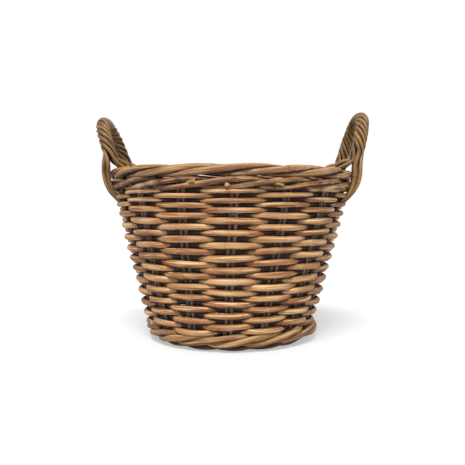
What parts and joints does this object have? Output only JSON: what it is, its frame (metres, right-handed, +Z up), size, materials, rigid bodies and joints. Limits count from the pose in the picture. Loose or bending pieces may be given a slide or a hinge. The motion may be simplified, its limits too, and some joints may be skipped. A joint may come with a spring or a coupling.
{
  "type": "wicker log basket",
  "caption": "Round tapered basket of woven cane on paired stakes, with a twisted border, a flat woven base and two rigid rope-twist ear handles.",
  "frame": {"origin": "middle of the basket on the floor it stands on", "axes": "+Z up; the handles are on +X and -X; -Y is the front"},
  "size_m": [0.4448, 0.3986, 0.3717],
  "materials": {
    "weaver_cane": "peeled cane, dry satin",
    "stake_cane": "dark unpeeled cane, matt",
    "border_cane": "peeled cane, dry satin",
    "handle_cane": "peeled cane, worn satin"
  },
  "bodies": {
    "root": {"stake_01": "stake_cane", "stake_02": "stake_cane", "stake_03": "stake_cane", "stake_04": "stake_cane", "stake_05": "stake_cane", "stake_06": "stake_cane", "stake_07": "stake_cane", "stake_08": "stake_cane", "stake_09": "stake_cane", "stake_10": "stake_cane", "stake_11": "stake_cane", "stake_12": "stake_cane", "stake_13": "stake_cane", "stake_14": "stake_cane", "stake_15": "stake_cane", "bye_stake_01": "stake_cane", "bye_stake_02": "stake_cane", "bye_stake_03": "stake_cane", "bye_stake_04": "stake_cane", "bye_stake_05": "stake_cane", "bye_stake_06": "stake_cane", "bye_stake_07": "stake_cane", "bye_stake_08": "stake_cane", "bye_stake_09": "stake_cane", "bye_stake_10": "stake_cane", "bye_stake_11": "stake_cane", "bye_stake_12": "stake_cane", "bye_stake_13": "stake_cane", "bye_stake_14": "stake_cane", "bye_stake_15": "stake_cane", "base_stick_lower_1": "weaver_cane", "base_stick_upper_1": "weaver_cane", "base_stick_lower_2": "weaver_cane", "base_stick_upper_2": "weaver_cane", "base_stick_lower_3": "weaver_cane", "base_stick_upper_3": "weaver_cane", "base_stick_lower_4": "weaver_cane", "base_stick_upper_4": "weaver_cane", "base_weaver": "weaver_cane", "foot_rope": "border_cane", "upsett_wale_1": "border_cane", "upsett_wale_2": "border_cane", "upsett_wale_3": "border_cane", "siding_weaver_1": "weaver_cane", "siding_weaver_2": "weaver_cane", "siding_weaver_3": "weaver_cane", "top_wale_1": "border_cane", "top_wale_2": "border_cane", "top_wale_3": "border_cane", "border_strand_1": "border_cane", "border_strand_2": "border_cane", "border_strand_3": "border_cane", "left_handle_bow": "handle_cane", "left_handle_wrap_1": "handle_cane", "left_handle_wrap_2": "handle_cane", "left_handle_wrap_3": "handle_cane", "right_handle_bow": "handle_cane", "right_handle_wrap_1": "handle_cane", "right_handle_wrap_2": "handle_cane", "right_handle_wrap_3": "handle_cane"}
  },
  "joints": []
}
